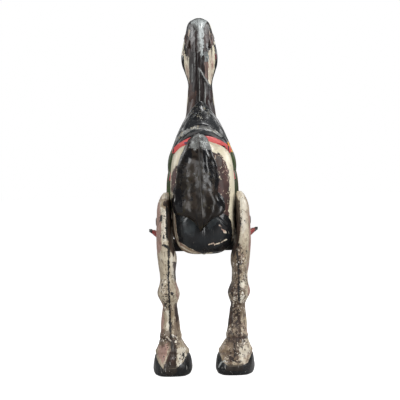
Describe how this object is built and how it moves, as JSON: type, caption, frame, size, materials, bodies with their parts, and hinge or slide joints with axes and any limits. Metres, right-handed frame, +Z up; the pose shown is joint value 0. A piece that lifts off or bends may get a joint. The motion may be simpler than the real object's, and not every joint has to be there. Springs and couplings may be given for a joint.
{
  "type": "ride-on toy horse",
  "caption": "Painted pressed-steel ride-on horse with a saddle, a moulded mane and tail, separate hanging legs and foot rests; it stands on its hooves.",
  "frame": {"origin": "centre of the whole horse's box, on the floor under its hooves", "axes": "+Z up; +Y the way the horse looks; +X to the horse's right"},
  "size_m": [0.232, 0.6774, 0.76],
  "materials": {
    "cream_paint": "aged gloss paint, chipped",
    "black_enamel": "gloss enamel",
    "red_enamel": "satin enamel",
    "dark_steel": "dull, lightly rusted"
  },
  "bodies": {
    "root": {"body": "cream_paint", "leg_hind_left": "cream_paint", "leg_hind_right": "cream_paint", "leg_fore_left": "cream_paint", "leg_fore_right": "cream_paint", "hip_rod": "dark_steel", "shoulder_rod": "dark_steel", "hind_tie": "black_enamel", "fore_tie": "black_enamel", "rest_bar": "dark_steel", "foot_rest_left": "red_enamel", "foot_rest_right": "red_enamel"}
  },
  "joints": []
}
